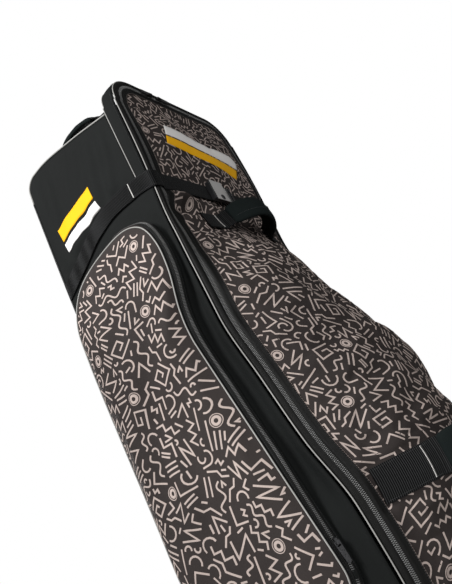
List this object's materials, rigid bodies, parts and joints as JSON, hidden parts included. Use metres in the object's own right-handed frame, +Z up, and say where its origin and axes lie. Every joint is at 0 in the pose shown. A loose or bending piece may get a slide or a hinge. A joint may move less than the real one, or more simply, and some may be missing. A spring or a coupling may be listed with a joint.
{
  "type": "golf travel case",
  "caption": "Tall wheeled soft case for a golf bag: hinged zip lid with a cinch strap, side pockets, carry handles and a moulded base.",
  "frame": {"origin": "on the floor, middle of the base tray's flat underside", "axes": "+Z up towards the club heads, +X across the case, -Y out of the lid"},
  "size_m": [0.5006, 0.5374, 1.292],
  "materials": {
    "black_cloth": "matte woven polyester",
    "printed_cloth": "matte printed polyester",
    "zip_tape": "satin knitted tape",
    "piping": "satin cord piping",
    "webbing": "ribbed webbing",
    "grip_cloth": "soft padded cloth",
    "foam": "lined foam",
    "board": "matte",
    "tray_plastic": "textured",
    "buckle_plastic": "semi gloss",
    "hub_plastic": "matte",
    "tyre": "matte",
    "steel": "satin"
  },
  "bodies": {
    "shell": {"left_side_panel": "black_cloth", "right_side_panel": "black_cloth", "back_panel": "black_cloth", "head_panel": "black_cloth", "head_gusset": "black_cloth", "front_sill": "black_cloth", "left_pocket_gusset": "black_cloth", "right_pocket_gusset": "black_cloth", "left_pocket_face": "printed_cloth", "right_pocket_face": "printed_cloth", "zip_frame": "zip_tape", "zip_piping": "piping", "left_pocket_piping": "piping", "right_pocket_piping": "piping", "left_side_strap": "webbing", "right_side_strap": "webbing", "head_handle_webbing": "webbing", "lower_club_strap_left": "webbing", "lower_club_strap_right": "webbing", "upper_club_strap_left": "webbing", "upper_club_strap_right": "webbing", "head_handle_grip": "grip_cloth", "left_head_pad": "foam", "right_head_pad": "foam", "back_head_pad": "foam", "base_board": "board", "base_tray": "tray_plastic", "left_wheel_housing": "tray_plastic", "right_wheel_housing": "tray_plastic", "left_skid_rail": "tray_plastic", "right_skid_rail": "tray_plastic", "lower_club_buckle_socket": "buckle_plastic", "upper_club_buckle_socket": "buckle_plastic", "left_axle": "steel", "right_axle": "steel"},
    "lid": {"lid_panel": "printed_cloth", "lid_zip_tape": "zip_tape", "lid_strap_left": "webbing", "lid_strap_right": "webbing", "lid_buckle_socket": "buckle_plastic", "lid_buckle_plate": "steel", "upper_handle_webbing": "webbing", "upper_handle_grip": "grip_cloth", "lower_handle_webbing": "webbing", "lower_handle_grip": "grip_cloth"},
    "lid_tongue": {"lid_buckle_tongue": "buckle_plastic"},
    "lower_club_tongue": {"lower_club_buckle_tongue": "buckle_plastic"},
    "upper_club_tongue": {"upper_club_buckle_tongue": "buckle_plastic"},
    "left_wheel": {"left_wheel_tyre": "tyre", "left_wheel_hub": "hub_plastic"},
    "right_wheel": {"right_wheel_tyre": "tyre", "right_wheel_hub": "hub_plastic"},
    "left_lid_slider": {"left_lid_slider": "steel"},
    "right_lid_slider": {"right_lid_slider": "steel"},
    "left_lid_pull": {"left_lid_pull": "steel"},
    "right_lid_pull": {"right_lid_pull": "steel"},
    "left_pocket_slider": {"left_pocket_slider": "steel"},
    "right_pocket_slider": {"right_pocket_slider": "steel"},
    "left_pocket_pull": {"left_pocket_pull": "steel"},
    "right_pocket_pull": {"right_pocket_pull": "steel"}
  },
  "joints": [
    {"name": "lid_hinge", "type": "hinge", "parent": "shell", "child": "lid", "pos_m": [0, -0.178, 0.16], "axis": [1, 0, 0], "range_deg": [0, 85]},
    {"name": "lid_buckle_slide", "type": "slide", "parent": "lid", "child": "lid_tongue", "axis": [1, 0, 0], "range_m": [0, 0.03]},
    {"name": "lower_club_buckle_slide", "type": "slide", "parent": "shell", "child": "lower_club_tongue", "axis": [1, 0, 0], "range_m": [0, 0.03]},
    {"name": "upper_club_buckle_slide", "type": "slide", "parent": "shell", "child": "upper_club_tongue", "axis": [1, 0, 0], "range_m": [0, 0.03]},
    {"name": "left_wheel_spin", "type": "hinge", "parent": "shell", "child": "left_wheel", "pos_m": [-0.129, 0.132, 0.0375], "axis": [1, 0, 0], "continuous": true},
    {"name": "right_wheel_spin", "type": "hinge", "parent": "shell", "child": "right_wheel", "pos_m": [0.129, 0.132, 0.0375], "axis": [1, 0, 0], "continuous": true},
    {"name": "left_lid_zip", "type": "slide", "parent": "lid", "child": "left_lid_slider", "axis": [-1, 0, 0], "range_m": [0, 0.04]},
    {"name": "left_lid_pull_swing", "type": "hinge", "parent": "left_lid_slider", "child": "left_lid_pull", "pos_m": [-0.072, -0.15186, 1.257], "axis": [0, 0, 1], "range_deg": [0, 160]},
    {"name": "right_lid_zip", "type": "slide", "parent": "lid", "child": "right_lid_slider", "axis": [1, 0, 0], "range_m": [0, 0.15]},
    {"name": "right_lid_pull_swing", "type": "hinge", "parent": "right_lid_slider", "child": "right_lid_pull", "pos_m": [-0.046, -0.15186, 1.257], "axis": [0, 0, -1], "range_deg": [0, 160]},
    {"name": "left_pocket_zip", "type": "slide", "parent": "shell", "child": "left_pocket_slider", "axis": [-0.0314, 0.1386, 0.9899], "range_m": [0, 0.33]},
    {"name": "left_pocket_pull_swing", "type": "hinge", "parent": "left_pocket_slider", "child": "left_pocket_pull", "pos_m": [-0.1971, -0.14395, 0.35324], "axis": [-0.778, 0.6183, -0.1113], "range_deg": [0, 160]},
    {"name": "right_pocket_zip", "type": "slide", "parent": "shell", "child": "right_pocket_slider", "axis": [0.0314, 0.1386, 0.9899], "range_m": [0, 0.33]},
    {"name": "right_pocket_pull_swing", "type": "hinge", "parent": "right_pocket_slider", "child": "right_pocket_pull", "pos_m": [0.1971, -0.14395, 0.35324], "axis": [-0.778, -0.6183, 0.1113], "range_deg": [0, 160]}
  ]
}
